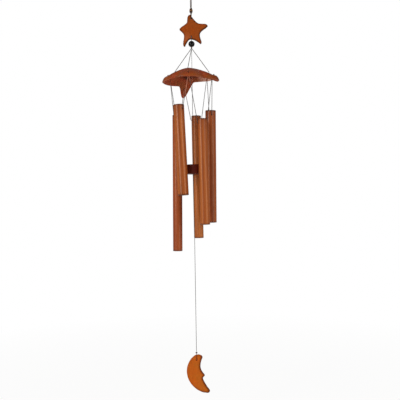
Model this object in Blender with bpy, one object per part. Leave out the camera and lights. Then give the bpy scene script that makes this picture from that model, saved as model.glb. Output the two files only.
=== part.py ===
# Bamboo wind chime. A cord loop carries a wooden star, a bead, a five-armed shell canopy with
# five bamboo tubes, a clapper between the tubes and a crescent moon that catches the wind.
# Metres, +Z up. The origin is the inside top of the hanging loop, and the front faces -Y.

import bmesh
import bpy
from math import asin, atan2, ceil, cos, hypot, pi, radians, sin
from mathutils import Matrix, Vector

# Driving dimensions

CLEARANCE = 0.0003          # gap between pieces that touch

HANGER_CORD = 0.0014        # diameter of the brown hanging cord
LINK_CORD = 0.0009          # cord between the star and the bead
SUSPENSION_CORD = 0.0012    # cords between the bead and the canopy
TUBE_STRING = 0.0010        # strings that carry the tubes
CLAPPER_CORD = 0.0009       # cord down to the clapper
SAIL_CORD = 0.0009          # cord from the clapper to the moon

LOOP_DROP = 0.0416          # inside top of the loop to the top of its knot
LOOP_WIDTH = 0.0090         # across the loop's widest place, centre to centre
# One side of the loop from its knot up: across and down, as shares of half its width and its drop.
LOOP_SIDE = ((0.23, 0.75), (0.38, 0.50), (0.80, 0.216), (1.0, 0.108), (0.72, 0.022))
HANGER_KNOT_HEIGHT = 0.0112
HANGER_KNOT_WIDTH = 0.0060

STAR_DROP = 0.0115          # hanger knot to the star's top hole
STAR_HOLE_SPAN = 0.0362     # star's top hole to its lower hole
STAR_THICKNESS = 0.0046
STAR_EDGE = 0.0014          # rounding of the star's rim
STAR_HOLE = 0.0040
# The next sizes of the star are shares of the distance between its holes.
STAR_TIP = 0.238            # top hole to the star's upper tip
STAR_NOTCH = 1.188          # top hole to the arch above the bead
# The star's outline from its top hole: across and up. The smooth rim runs through these points.
STAR_RIM = (
    (-0.084, STAR_TIP),
    (0.007, 0.160),
    (0.127, 0.008),
    (0.274, -0.157),
    (0.421, -0.260),
    (0.646, -0.287),
    (0.846, -0.312),
    (0.945, -0.406),
    (0.880, -0.506),
    (0.677, -0.652),
    (0.514, -0.823),
    (0.491, -0.970),
    (0.528, -1.155),
    (0.578, -1.354),
    (0.533, -1.445),
    (0.421, -1.373),
    (0.237, -1.257),
    (0.063, -STAR_NOTCH),
    (-0.107, -STAR_NOTCH),
    (-0.219, -1.304),
    (-0.318, -1.461),
    (-0.408, -1.591),
    (-0.467, -1.514),
    (-0.473, -1.320),
    (-0.431, -1.083),
    (-0.439, -0.892),
    (-0.540, -0.751),
    (-0.676, -0.586),
    (-0.602, -0.486),
    (-0.385, -0.329),
    (-0.250, -0.207),
    (-0.228, -0.061),
    (-0.185, 0.152),
)

BEAD_DROP = 0.0158          # star's lower hole to the bead's centre
BEAD_DIAMETER = 0.0130
BEAD_BORE = 0.0032
GATHER_KNOT = 0.0038        # diameter of the knot under the bead

CANOPY_DROP = 0.0502        # bead's centre to the top of the shell
CANOPY_WALL = 0.0036
CANOPY_EDGE = 0.0009        # rounding of the cut edge
APEX_HOLE = 0.0050
CANOPY_REACH = 0.0623       # from the shell's middle to the tip of its longest arm
# Each arm: name, azimuth, reach, drop of its tip, how late it turns down, pointedness, and the
# radius of its string hole. Reach, drop and radius are shares of the shell's reach.
ARMS = (
    ("left", 183.0, 1.000, 0.459, 1.6, 0.4, 0.787),
    ("front", 262.0, 0.894, 0.414, 1.3, 0.7, 0.787),
    ("right", 340.0, 0.939, 0.477, 1.3, 0.35, 0.754),
    ("rear_right", 408.6, 0.921, 0.263, 1.8, 1.1, 0.803),
    ("rear", 473.0, 0.913, 0.845, 2.2, 2.2, 0.787),
)
# The shell's edge between each arm and the next: azimuth, reach, drop, how late it turns down.
VALLEYS = (
    (227.0, 0.669, 0.352, 2.3),
    (305.5, 0.684, 0.421, 1.3),
    (370.5, 0.669, 0.340, 1.8),
    (440.0, 0.693, 0.310, 2.0),
    (492.0, 0.770, 0.475, 2.4),
)
CANOPY_LIP = 0.20           # share of the drop that comes at the rim, where the shell turns down
LIP_TURN = 9.0              # how late that turn comes
# Holes of the three suspension cords: arm and radius, as a share of the shell's reach.
SUSPENSIONS = (("left", 0.565), ("right", 0.597), ("rear", 0.516))

KNOT_DIAMETER = 0.0036      # knots on the canopy, under the clapper and above the moon
STEM_DIAMETER = 0.0022      # cord bundle inside a canopy hole
STEM_PROUD = 0.0005         # how far the bundle shows past the wall
STRING_SPREAD = 0.0008      # the two strings of one arm start this far off its hole
STRING_OFF = 0.0012         # a string turns into its tube's hole this far out from the tube's side
STRING_RISE = 0.0020        # and this far above the hole
STRING_LEAD = 0.0080        # straight stretch of string above that turn

TUBE_WALL = 0.0030
TUBE_EDGE = 0.0006          # rounding of the tube's ends
CROSS_HOLE = 0.0030
CROSS_HOLE_DROP = 0.0100    # tube's top to its cross holes
TUBE_DIAMETER = 0.0200
TUBE_LENGTH = 0.2860        # the longest tube
# Each tube: name, arms that carry it, place along the line between them, share of the diameter,
# drop of its top below the canopy's top and length as shares of the longest tube's length, and
# lean of its foot towards the second arm.
TUBES = (
    ("front_left", "left", "front", 0.46, 1.120, 0.2776, 0.6476, 3.2),
    ("rear_left", "left", "rear", 0.46, 1.000, 0.3318, 1.0000, -1.1),
    ("rear", "rear", "rear_right", 0.50, 1.030, 0.3283, 0.9154, 0.4),
    ("right", "rear_right", "right", 0.58, 1.110, 0.3073, 0.8189, -2.0),
    ("front_right", "front", "right", 0.54, 1.010, 0.3825, 0.7523, 0.9),
)

CLAPPER_DROP = 0.2009       # canopy's top to the clapper's upper face
CLAPPER_DIAMETER = 0.0388
CLAPPER_HEIGHT = 0.0196
CLAPPER_EDGE = 0.0015
CLAPPER_BORE = 0.0026

SAIL_DROP = 0.3868          # clapper's lower face to the moon's hole
MOON_KNOT_DROP = 0.0160     # centre of the knot above the moon to the moon's hole
MOON_THICKNESS = 0.0046
MOON_EDGE = 0.0012
MOON_HOLE = 0.0038
MOON_HEIGHT = 0.0789
# The moon's outline from its hole, in shares of its height: across and up. The smooth rim runs
# through these points.
MOON_RIM = (
    (0.155, 0.089),
    (0.101, 0.138),
    (0.000, 0.144),
    (-0.101, 0.084),
    (-0.203, -0.051),
    (-0.260, -0.228),
    (-0.251, -0.406),
    (-0.190, -0.564),
    (-0.082, -0.703),
    (0.057, -0.805),
    (0.203, -0.856),
    (0.332, -0.837),
    (0.264, -0.691),
    (0.190, -0.558),
    (0.162, -0.466),
    (0.208, -0.403),
    (0.155, -0.319),
    (0.105, -0.209),
    (0.106, -0.089),
    (0.132, 0.010),
)

# Facets

ROUND_STEPS = 24            # around tubes and other large rounds
SMALL_STEPS = 12            # around knots and cutters
ARM_STEPS = 14              # around the canopy, for each arm
DOME_STEPS = 6              # from the canopy's hole to its edge
KNOT_STEPS = 6              # along a knot's half profile
BEAD_STEPS = 10             # along the bead's half profile
EDGE_STEPS = 2              # around a plate's rounded rim
SLOPE_STEP = 0.0002         # step that measures the canopy's slope
CORD_SPAN = 0.012           # longest stretch between two points of a cord
STRAIGHT_SPAN = 0.030       # the same on a cord that hangs straight
BEND_STEPS = 3              # points along each short stretch of a cord
RIM_STEPS = 2               # points along each stretch of a plate's rim
SHARP_ANGLE = radians(40)

# Levels that follow from the drops

HANGER_KNOT_TOP = -LOOP_DROP
HANGER_KNOT_FOOT = HANGER_KNOT_TOP - HANGER_KNOT_HEIGHT
STAR_TOP_HOLE = Vector((0.0, 0.0, HANGER_KNOT_FOOT - STAR_DROP))
STAR_LOW_HOLE = STAR_TOP_HOLE - Vector((0.0, 0.0, STAR_HOLE_SPAN))
BEAD_CENTRE = STAR_LOW_HOLE - Vector((0.0, 0.0, BEAD_DROP))
BEAD_TOP = BEAD_CENTRE.z + BEAD_DIAMETER / 2
BEAD_FOOT = BEAD_CENTRE.z - BEAD_DIAMETER / 2
GATHER_FOOT = Vector((0.0, 0.0, BEAD_FOOT - CLEARANCE - GATHER_KNOT))
CANOPY_TOP = BEAD_CENTRE.z - CANOPY_DROP
APEX = Vector((0.0, 0.0, CANOPY_TOP - CANOPY_WALL / 2))
CLAPPER_TOP = CANOPY_TOP - CLAPPER_DROP
CLAPPER_FOOT = CLAPPER_TOP - CLAPPER_HEIGHT
CLAPPER_KNOT_FOOT = Vector((0.0, 0.0, CLAPPER_FOOT - CLEARANCE - KNOT_DIAMETER))
MOON_HOLE_CENTRE = Vector((0.0, 0.0, CLAPPER_FOOT - SAIL_DROP))
SAIL_KNOT_CENTRE = MOON_HOLE_CENTRE + Vector((0.0, 0.0, MOON_KNOT_DROP))

arms = {}
for name, azimuth, reach, drop, late, point, hole in ARMS:
    fall = (reach * CANOPY_REACH, drop * CANOPY_REACH, late)
    arms[name] = (name, azimuth, *fall, point, hole * CANOPY_REACH)
valleys = []
for azimuth, reach, drop, late in VALLEYS:
    valleys.append((azimuth, reach * CANOPY_REACH, drop * CANOPY_REACH, late))
tubes = {}
for name, first, second, place, width, drop, length, lean in TUBES:
    sizes = (width * TUBE_DIAMETER, drop * TUBE_LENGTH, length * TUBE_LENGTH)
    tubes[name] = (name, first, second, place, *sizes, lean)
pivots = {}


def material(name, colour, roughness, metallic=0.0):
    made = bpy.data.materials.new(name)
    made.use_nodes = True
    shader = made.node_tree.nodes["Principled BSDF"]
    shader.inputs["Base Color"].default_value = (*colour, 1.0)
    shader.inputs["Roughness"].default_value = roughness
    shader.inputs["Metallic"].default_value = metallic
    return made


def pivot(name, parent, centre, axis_frame=None):
    """An empty on a joint's axis; a frame turns its X along the axis."""
    frame = Matrix.Translation(centre)
    if axis_frame is not None:
        frame = frame @ axis_frame.to_4x4()
    empty = bpy.data.objects.new(name, None)
    empty.empty_display_size = 0.01
    bpy.context.collection.objects.link(empty)
    if parent is None:
        empty.matrix_basis = frame
    else:
        empty.parent = bpy.data.objects[parent]
        empty.matrix_basis = pivots[parent].inverted() @ frame
    pivots[name] = frame


def hang(piece, carrier):
    """Parents a piece, modelled in world coordinates, to the pivot that carries it."""
    piece.data.transform(pivots[carrier].inverted())
    piece.parent = bpy.data.objects[carrier]


def finished(name, mesh_edit, look, carrier):
    """A mesh object from a bmesh, facing out, smooth on its rounds and sharp on its edges."""
    bmesh.ops.remove_doubles(mesh_edit, verts=mesh_edit.verts, dist=0.000001)
    bmesh.ops.recalc_face_normals(mesh_edit, faces=mesh_edit.faces)
    mesh = bpy.data.meshes.new(name)
    mesh_edit.to_mesh(mesh)
    mesh_edit.free()
    mesh.shade_smooth()
    mesh.set_sharp_from_angle(angle=SHARP_ANGLE)
    piece = bpy.data.objects.new(name, mesh)
    bpy.context.collection.objects.link(piece)
    piece.data.materials.append(look)
    hang(piece, carrier)
    return piece


def turned(profile, steps, frame, closed=False):
    """A bmesh turned about the frame's Z from (radius, height) points; closed for a ring."""
    made = bmesh.new()
    rings = []
    for radius, height in profile:
        if radius == 0.0:
            rings.append([made.verts.new(frame @ Vector((0.0, 0.0, height)))])
            continue
        ring = []
        for step in range(steps):
            turn = 2 * pi * step / steps
            ring.append(made.verts.new(frame @ Vector((radius * cos(turn), radius * sin(turn), height))))
        rings.append(ring)
    pairs = list(zip(rings, rings[1:]))
    if closed:
        pairs.append((rings[-1], rings[0]))
    for upper, lower in pairs:
        for step in range(steps):
            after = (step + 1) % steps
            corners = [upper[step % len(upper)], lower[step % len(lower)]]
            if len(lower) > 1:
                corners.append(lower[after])
            if len(upper) > 1:
                corners.append(upper[after])
            made.faces.new(corners)
    return made


def along(direction):
    """A turn that brings Z to the given direction."""
    return direction.to_track_quat("Z", "Y").to_matrix()


def arc(centre_radius, centre_height, radius, start, end, steps):
    """Profile points on an arc; angles in degrees from the outward direction, up positive."""
    points = []
    for step in range(steps + 1):
        angle = radians(start + (end - start) * step / steps)
        points.append((centre_radius + radius * cos(angle), centre_height + radius * sin(angle)))
    return points


def cut(piece, cutter_edit, name):
    """Cuts a bmesh, given in world coordinates, out of a piece."""
    mesh = bpy.data.meshes.new(name)
    bmesh.ops.recalc_face_normals(cutter_edit, faces=cutter_edit.faces)
    cutter_edit.to_mesh(mesh)
    cutter_edit.free()
    cutter = bpy.data.objects.new(name, mesh)
    bpy.context.collection.objects.link(cutter)
    cutter.display_type = "WIRE"
    cutter.hide_render = True
    boolean = piece.modifiers.new(name, "BOOLEAN")
    boolean.operation = "DIFFERENCE"
    boolean.object = cutter


def drill(diameter, length, centre, direction):
    """A round cutter centred on a point and lying along a direction."""
    profile = [(0.0, length / 2), (diameter / 2, length / 2), (diameter / 2, -length / 2), (0.0, -length / 2)]
    frame = Matrix.Translation(centre) @ along(direction).to_4x4()
    return turned(profile, SMALL_STEPS, frame)


def between(near, far, start, end, place):
    return near + (far - near) * ((place - start) / (end - start))


def curve_point(near, knots, place):
    """A point of the centripetal curve through four neighbours."""
    a1 = between(near[0], near[1], knots[0], knots[1], place)
    a2 = between(near[1], near[2], knots[1], knots[2], place)
    a3 = between(near[2], near[3], knots[2], knots[3], place)
    b1 = between(a1, a2, knots[0], knots[2], place)
    b2 = between(a2, a3, knots[1], knots[3], place)
    return between(b1, b2, knots[1], knots[2], place)


def smooth_curve(points, steps_for, closed=False):
    """Points on one smooth curve through the given points."""
    if closed:
        padded = [points[-1], *points, points[0], points[1]]
    else:
        padded = [2 * points[0] - points[1], *points, 2 * points[-1] - points[-2]]
    result = []
    for span in range(len(padded) - 3):
        near = padded[span:span + 4]
        knots = [0.0]
        for before, after in zip(near, near[1:]):
            knots.append(knots[-1] + (after - before).length ** 0.5)
        steps = steps_for(near[1], near[2])
        for step in range(steps):
            place = knots[1] + (knots[2] - knots[1]) * step / steps
            result.append(curve_point(near, knots, place))
    if not closed:
        result.append(points[-1])
    return result


def cord_steps(near, far):
    return max(BEND_STEPS, ceil((far - near).length / CORD_SPAN))


def straight_steps(near, far):
    return max(1, ceil((far - near).length / STRAIGHT_SPAN))


def rim_steps(near, far):
    return RIM_STEPS


def cord(name, route, diameter, look, carrier, steps_for=cord_steps):
    """A round cord with closed ends along one smooth curve through its route."""
    points = smooth_curve(route, steps_for)
    curve = bpy.data.curves.new(name, "CURVE")
    curve.dimensions = "3D"
    curve.bevel_depth = diameter / 2
    curve.bevel_resolution = 2
    curve.use_fill_caps = True
    spline = curve.splines.new("POLY")
    spline.points.add(len(points) - 1)
    for place, point in zip(spline.points, points):
        place.co = (*point, 1.0)
    spline.use_smooth = True
    piece = bpy.data.objects.new(name, curve)
    bpy.context.collection.objects.link(piece)
    piece.data.materials.append(look)
    hang(piece, carrier)
    return piece


def sling(hole, half_plate, diameter, ends, shoulder):
    """Route of a cord through a plate's hole: one strand in front, through along Y, one behind.

    The ends are (off-centre, rise) points; the shoulder is the rise where a strand leaves the plate.
    """
    side = half_plate + CLEARANCE + diameter / 2
    up = side if shoulder > 0 else -side
    bend = [(side, up), (side * cos(pi / 4), up * (1 - sin(pi / 4)))]
    front = [*ends, (side, shoulder), *bend]
    strand = [hole + Vector((0.0, -out, rise)) for out, rise in front]
    behind = [hole + Vector((0.0, out, rise)) for out, rise in reversed(front)]
    return [*strand, hole, *behind]


def plate(name, outline, centre, thickness, edge, look, carrier):
    """A flat plate facing Y, with a rounded rim, from an outline about its centre."""
    count = len(outline)
    area = sum(outline[i - 1].cross(outline[i]) for i in range(count))
    inward = 1.0 if area > 0 else -1.0
    inset = []
    for index, point in enumerate(outline):
        before = (point - outline[index - 1]).normalized()
        after = (outline[(index + 1) % count] - point).normalized()
        tangent = (before + after).normalized()
        inset.append(inward * Vector((-tangent.y, tangent.x)))
    rim = []
    for step in range(EDGE_STEPS + 1):
        angle = pi / 2 * step / EDGE_STEPS
        rim.append((edge * (1 - sin(angle)), -thickness / 2 + edge * (1 - cos(angle))))
    rim += [(pull, -depth) for pull, depth in reversed(rim)]
    made = bmesh.new()
    rings = []
    for pull, depth in rim:
        ring = []
        for point, way in zip(outline, inset):
            flat = point + way * pull
            ring.append(made.verts.new(centre + Vector((flat.x, depth, flat.y))))
        rings.append(ring)
    for near, far in zip(rings, rings[1:]):
        for index in range(count):
            after = (index + 1) % count
            made.faces.new((near[index], near[after], far[after], far[index]))
    made.faces.new(rings[0])
    made.faces.new(rings[-1])
    return finished(name, made, look, carrier)


def knot(name, centre, diameter, look, carrier, stem=0.0, direction=Vector((0.0, 0.0, 1.0))):
    """A tight round knot; a stem of cord may run from its centre along a direction."""
    profile = arc(0.0, 0.0, diameter / 2, 90, -90, KNOT_STEPS)
    profile[0] = (0.0, diameter / 2)
    profile[-1] = (0.0, -diameter / 2)
    if stem:
        radius = STEM_DIAMETER / 2
        seat = (diameter ** 2 / 4 - radius ** 2) ** 0.5
        body = [point for point in profile if point[1] < seat and point[0] > radius]
        profile = [(0.0, stem), (radius, stem), (radius, seat), *body, (0.0, -diameter / 2)]
    frame = Matrix.Translation(centre) @ along(direction).to_4x4()
    return finished(name, turned(profile, SMALL_STEPS, frame), look, carrier)


def turn_from(azimuth, start):
    """Angle from one azimuth to another, from -180 to 180 degrees."""
    return (azimuth - start + 180) % 360 - 180


def canopy_rim(azimuth):
    """Reach of the canopy's outline, the shell's drop there and how late it turns down."""
    nearest = 2.0
    for index, arm in enumerate(arms.values()):
        offset = turn_from(azimuth, arm[1])
        valley = valleys[index] if offset > 0 else valleys[index - 1]
        place = offset / turn_from(valley[0], arm[1])
        if place < nearest:
            nearest = place
            share = (0.5 + 0.5 * cos(pi * min(place, 1.0))) ** arm[5]
            rim = Vector(valley[1:4]).lerp(Vector(arm[2:5]), share)
    return rim


def dome_height(across, away):
    """Height of the shell's outside, which falls from its top to the rim."""
    reach, drop, power = canopy_rim(atan2(away, across) * 180 / pi)
    place = hypot(across, away) / reach
    return CANOPY_TOP - drop * ((1 - CANOPY_LIP) * place ** power + CANOPY_LIP * place ** LIP_TURN)


def dome(azimuth, radius, depth=0.0):
    """A point of the canopy, at a depth into its wall from the outside, and its normal there."""
    across = radius * cos(radians(azimuth))
    away = radius * sin(radians(azimuth))
    slope_across = (dome_height(across + SLOPE_STEP, away) - dome_height(across - SLOPE_STEP, away))
    slope_away = (dome_height(across, away + SLOPE_STEP) - dome_height(across, away - SLOPE_STEP))
    normal = Vector((-slope_across, -slope_away, 2 * SLOPE_STEP)).normalized()
    return Vector((across, away, dome_height(across, away))) - normal * depth, normal


def canopy(look, carrier):
    """The shell: a dome cut to a five-armed outline, with a hole at its top."""
    made = bmesh.new()
    steps = ARM_STEPS * len(ARMS)
    inner = APEX_HOLE / 2
    sections = []
    for step in range(steps):
        azimuth = 360 * step / steps
        outer = canopy_rim(azimuth)[0]
        radii = [inner + (outer - CANOPY_EDGE - inner) * k / DOME_STEPS for k in range(DOME_STEPS + 1)]
        path = [(radius, 0.0) for radius in radii]
        path += [(outer, CANOPY_EDGE), (outer, CANOPY_WALL - CANOPY_EDGE)]
        path += [(radius, CANOPY_WALL) for radius in reversed(radii)]
        sections.append([made.verts.new(dome(azimuth, radius, depth)[0]) for radius, depth in path])
    count = len(sections[0])
    for step in range(steps):
        near = sections[step]
        far = sections[(step + 1) % steps]
        for index in range(count):
            after = (index + 1) % count
            made.faces.new((near[index], near[after], far[after], far[index]))
    return finished("canopy_shell", made, look, carrier)


def tube_frame(name):
    """Centre of a tube's cross holes and its turn: X along the holes, Z up the leaning tube."""
    first = string_start(tubes[name][1], name)
    second = string_start(tubes[name][2], name)
    place = first.lerp(second, tubes[name][3])
    centre = Vector((place.x, place.y, CANOPY_TOP - tubes[name][5] - CROSS_HOLE_DROP))
    turn = atan2(second.y - first.y, second.x - first.x)
    return centre, Matrix.Rotation(turn, 3, "Z") @ Matrix.Rotation(radians(-tubes[name][7]), 3, "Y")


def string_start(arm, tube):
    """Where a tube's string leaves the knot bundle under an arm, a little towards its tube."""
    inside, normal = dome(arms[arm][1], arms[arm][6], CANOPY_WALL + STEM_PROUD + 3 * CLEARANCE)
    carriers = tubes[tube][1:3]
    other = carriers[0] if carriers[1] == arm else carriers[1]
    away, _ = dome(arms[other][1], arms[other][6], CANOPY_WALL)
    way = Vector((away.x - inside.x, away.y - inside.y, 0.0)).normalized()
    return inside + way * STRING_SPREAD


def string_route(name):
    """One string: under the first arm, down and through the tube, and up to the second arm."""
    centre, turn = tube_frame(name)
    radius = tubes[name][4] / 2
    halves = []
    for arm, side in ((tubes[name][1], -1), (tubes[name][2], 1)):
        start = string_start(arm, name)
        bend = centre + turn @ Vector((side * (radius + STRING_OFF), 0.0, STRING_RISE))
        mouth = centre + turn @ Vector((side * (radius - TUBE_WALL / 2), 0.0, 0.0))
        before = bend + (start - bend).normalized() * STRING_LEAD
        halves.append([start, before, bend, mouth])
    return halves[0] + halves[1][::-1]


def bamboo_tube(name, look, carrier):
    """A bored tube with rounded ends and a pair of cross holes for its string."""
    centre, turn = tube_frame(name)
    outer = tubes[name][4] / 2
    inner = outer - TUBE_WALL
    top = CROSS_HOLE_DROP
    foot = top - tubes[name][6]
    profile = [
        (outer - TUBE_EDGE, top), (outer, top - TUBE_EDGE),
        (outer, foot + TUBE_EDGE), (outer - TUBE_EDGE, foot),
        (inner + TUBE_EDGE, foot), (inner, foot + TUBE_EDGE),
        (inner, top - TUBE_EDGE), (inner + TUBE_EDGE, top),
    ]
    frame = Matrix.Translation(centre) @ turn.to_4x4()
    node = "bamboo_tube_" + name
    piece = finished(node, turned(profile, ROUND_STEPS, frame, closed=True), look, carrier)
    reach = tubes[name][4] + 2 * TUBE_WALL
    cut(piece, drill(CROSS_HOLE, reach, centre, turn @ Vector((1.0, 0.0, 0.0))), node + "_cross_hole")


# Clear the scene

for old in list(bpy.data.objects):
    bpy.data.objects.remove(old)

# Materials

brown_cord = material("brown_cord", (0.16, 0.075, 0.035), 0.8)
dark_cord = material("dark_cord", (0.030, 0.026, 0.024), 0.6)
star_wood = material("star_wood", (0.36, 0.115, 0.028), 0.45)
moon_wood = material("moon_wood", (0.45, 0.15, 0.030), 0.45)
black_bead = material("black_bead", (0.012, 0.010, 0.010), 0.15)
shell = material("shell", (0.19, 0.060, 0.028), 0.35)
bamboo = material("bamboo", (0.32, 0.125, 0.048), 0.35)
dark_wood = material("dark_wood", (0.075, 0.018, 0.010), 0.45)

# Hanger: loop, knot and the sling through the star

pivot("hanger_pivot", None, Vector((0.0, 0.0, 0.0)))
leg = HANGER_CORD / 2 + CLEARANCE / 2
half_loop = [Vector((leg, 0.0, HANGER_KNOT_TOP + CLEARANCE))]
half_loop += [Vector((across * LOOP_WIDTH / 2, 0.0, -down * LOOP_DROP)) for across, down in LOOP_SIDE]
loop_top = Vector((0.0, 0.0, HANGER_CORD / 2))
other_half = [Vector((-point.x, 0.0, point.z)) for point in reversed(half_loop)]
cord("hanger_loop", [*half_loop, loop_top, *other_half], HANGER_CORD, brown_cord, "hanger_pivot")

barrel_end = HANGER_KNOT_WIDTH / 2 - HANGER_CORD
barrel = [(0.0, HANGER_KNOT_TOP), (barrel_end, HANGER_KNOT_TOP)]
barrel += [
    (barrel_end + HANGER_CORD * sin(pi * k / KNOT_STEPS),
     HANGER_KNOT_TOP - HANGER_KNOT_HEIGHT * k / KNOT_STEPS)
    for k in range(1, KNOT_STEPS)
]
barrel += [(barrel_end, HANGER_KNOT_FOOT), (0.0, HANGER_KNOT_FOOT)]
finished("hanger_knot", turned(barrel, SMALL_STEPS, Matrix.Identity(4)), brown_cord, "hanger_pivot")

star_half = STAR_THICKNESS / 2
star_sling_end = (HANGER_CORD, STAR_DROP - CLEARANCE - HANGER_CORD / 2)
star_sling = sling(STAR_TOP_HOLE, star_half, HANGER_CORD, [star_sling_end], STAR_TIP * STAR_HOLE_SPAN)
cord("star_sling", star_sling, HANGER_CORD, brown_cord, "hanger_pivot")

# Star, swinging on its sling

pivot("star_pivot", "hanger_pivot", STAR_TOP_HOLE)
star_outline = smooth_curve([Vector(point) * STAR_HOLE_SPAN for point in STAR_RIM], rim_steps, closed=True)
star = plate("star_plate", star_outline, STAR_TOP_HOLE, STAR_THICKNESS, STAR_EDGE, star_wood,
             "star_pivot")
for hole_name, hole in (("star_top_hole", STAR_TOP_HOLE), ("star_low_hole", STAR_LOW_HOLE)):
    cut(star, drill(STAR_HOLE, 2 * STAR_THICKNESS, hole, Vector((0.0, 1.0, 0.0))), hole_name)

# Link through the star's lower hole, swinging in it

pivot("link_pivot", "star_pivot", STAR_LOW_HOLE)
link_apart = LINK_CORD / 2 + CLEARANCE / 2
bead_rise = BEAD_DIAMETER / 2 - BEAD_DROP
link_ends = [(link_apart, bead_rise - LINK_CORD), (link_apart, bead_rise + LINK_CORD / 2)]
link_shoulder = (1 - STAR_NOTCH) * STAR_HOLE_SPAN
bead_link = sling(STAR_LOW_HOLE, star_half, LINK_CORD, link_ends, link_shoulder)
cord("bead_link", bead_link, LINK_CORD, dark_cord, "link_pivot")

# Crown: bead, gathered cords and canopy, twisting below the link

pivot("crown_pivot", "link_pivot", Vector((0.0, 0.0, BEAD_TOP)))
bead_radius = BEAD_DIAMETER / 2
bore_angle = asin((BEAD_BORE ** 2 / 4) ** 0.5 / bead_radius) * 180 / pi
bead_profile = arc(0.0, 0.0, bead_radius, 90 - bore_angle, bore_angle - 90, BEAD_STEPS)
finished("bead", turned(bead_profile, ROUND_STEPS, Matrix.Translation(BEAD_CENTRE), closed=True),
         black_bead, "crown_pivot")
gather_centre = GATHER_FOOT + Vector((0.0, 0.0, GATHER_KNOT / 2))
knot("gather_knot", gather_centre, GATHER_KNOT, dark_cord, "crown_pivot", stem=BEAD_DIAMETER / 2)

shell_piece = canopy(shell, "crown_pivot")
hole_diameter = STEM_DIAMETER + 2 * CLEARANCE
stem_length = KNOT_DIAMETER / 2 + CLEARANCE + CANOPY_WALL + STEM_PROUD

for arm in arms.values():
    outside, normal = dome(arm[1], arm[6])
    cut(shell_piece, drill(hole_diameter, 3 * CANOPY_WALL, outside, normal), "string_hole_" + arm[0])
    top_knot = outside + normal * (KNOT_DIAMETER / 2 + CLEARANCE)
    knot("string_knot_" + arm[0], top_knot, KNOT_DIAMETER, dark_cord, "crown_pivot", stem_length, -normal)

for arm_name, share in SUSPENSIONS:
    azimuth = arms[arm_name][1]
    outside, normal = dome(azimuth, share * CANOPY_REACH)
    cut(shell_piece, drill(hole_diameter, 3 * CANOPY_WALL, outside, normal), "suspension_hole_" + arm_name)
    low_knot = outside - normal * (CANOPY_WALL + KNOT_DIAMETER / 2 + CLEARANCE)
    knot("suspension_knot_" + arm_name, low_knot, KNOT_DIAMETER, dark_cord, "crown_pivot", stem_length,
         normal)
    foot = outside + normal * (STEM_PROUD + 3 * CLEARANCE)
    start = gather_centre + (foot - gather_centre).normalized() * (GATHER_KNOT / 2 + CLEARANCE)
    cord("suspension_cord_" + arm_name, [start, foot], SUSPENSION_CORD, dark_cord, "crown_pivot",
         straight_steps)

# Tubes, each swinging on its string and tilting about its cross holes

for name in tubes:
    first = string_start(tubes[name][1], name)
    second = string_start(tubes[name][2], name)
    across = (second - first).normalized()
    swing_turn = across.to_track_quat("X", "Z").to_matrix()
    centre, turn = tube_frame(name)
    pivot("string_pivot_" + name, "crown_pivot", (first + second) / 2, swing_turn)
    cord("tube_string_" + name, string_route(name), TUBE_STRING, dark_cord, "string_pivot_" + name)
    pivot("tube_pivot_" + name, "string_pivot_" + name, centre, turn)
    bamboo_tube(name, bamboo, "tube_pivot_" + name)

# Clapper, swinging one way at the bead and the other way at the canopy's hole

pivot("clapper_line_pivot", "crown_pivot", gather_centre)
line_top = gather_centre - Vector((0.0, 0.0, GATHER_KNOT / 2 + CLEARANCE))
cord("clapper_line", [line_top, APEX + Vector((0.0, 0.0, CLEARANCE / 2))], CLAPPER_CORD, dark_cord,
     "clapper_line_pivot", straight_steps)
pivot("clapper_pivot", "clapper_line_pivot", APEX)
clapper_end = Vector((0.0, 0.0, CLAPPER_FOOT))
cord("clapper_cord", [APEX - Vector((0.0, 0.0, CLEARANCE / 2)), clapper_end], CLAPPER_CORD, dark_cord,
     "clapper_pivot", straight_steps)
disc_radius = CLAPPER_DIAMETER / 2
bore = CLAPPER_BORE / 2
disc = [
    (bore, CLAPPER_TOP), (disc_radius - CLAPPER_EDGE, CLAPPER_TOP),
    *arc(disc_radius - CLAPPER_EDGE, CLAPPER_TOP - CLAPPER_EDGE, CLAPPER_EDGE, 60, 0, 2),
    *arc(disc_radius - CLAPPER_EDGE, CLAPPER_FOOT + CLAPPER_EDGE, CLAPPER_EDGE, 0, -60, 2),
    (disc_radius - CLAPPER_EDGE, CLAPPER_FOOT), (bore, CLAPPER_FOOT),
]
disc_form = turned(disc, ROUND_STEPS, Matrix.Identity(4), closed=True)
finished("clapper_disc", disc_form, dark_wood, "clapper_pivot")
clapper_knot_centre = CLAPPER_KNOT_FOOT + Vector((0.0, 0.0, KNOT_DIAMETER / 2))
knot("clapper_knot", clapper_knot_centre, KNOT_DIAMETER, dark_cord, "clapper_pivot")

# Sail cord and moon

pivot("sail_cord_pivot", "clapper_pivot", clapper_knot_centre)
sail_start = CLAPPER_KNOT_FOOT - Vector((0.0, 0.0, CLEARANCE))
sail_end = SAIL_KNOT_CENTRE + Vector((0.0, 0.0, KNOT_DIAMETER / 2 + CLEARANCE))
cord("sail_cord", [sail_start, sail_end], SAIL_CORD, dark_cord, "sail_cord_pivot", straight_steps)

pivot("sail_pivot", "sail_cord_pivot", SAIL_KNOT_CENTRE)
knot("sail_knot", SAIL_KNOT_CENTRE, KNOT_DIAMETER, dark_cord, "sail_pivot")
moon_half = MOON_THICKNESS / 2
moon_sling_end = (SAIL_CORD, MOON_KNOT_DROP - KNOT_DIAMETER / 2 - CLEARANCE - SAIL_CORD / 2)
moon_top = MOON_HEIGHT * max(up for across, up in MOON_RIM)
moon_sling = sling(MOON_HOLE_CENTRE, moon_half, SAIL_CORD, [moon_sling_end], moon_top)
cord("sail_sling", moon_sling, SAIL_CORD, dark_cord, "sail_pivot")

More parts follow.
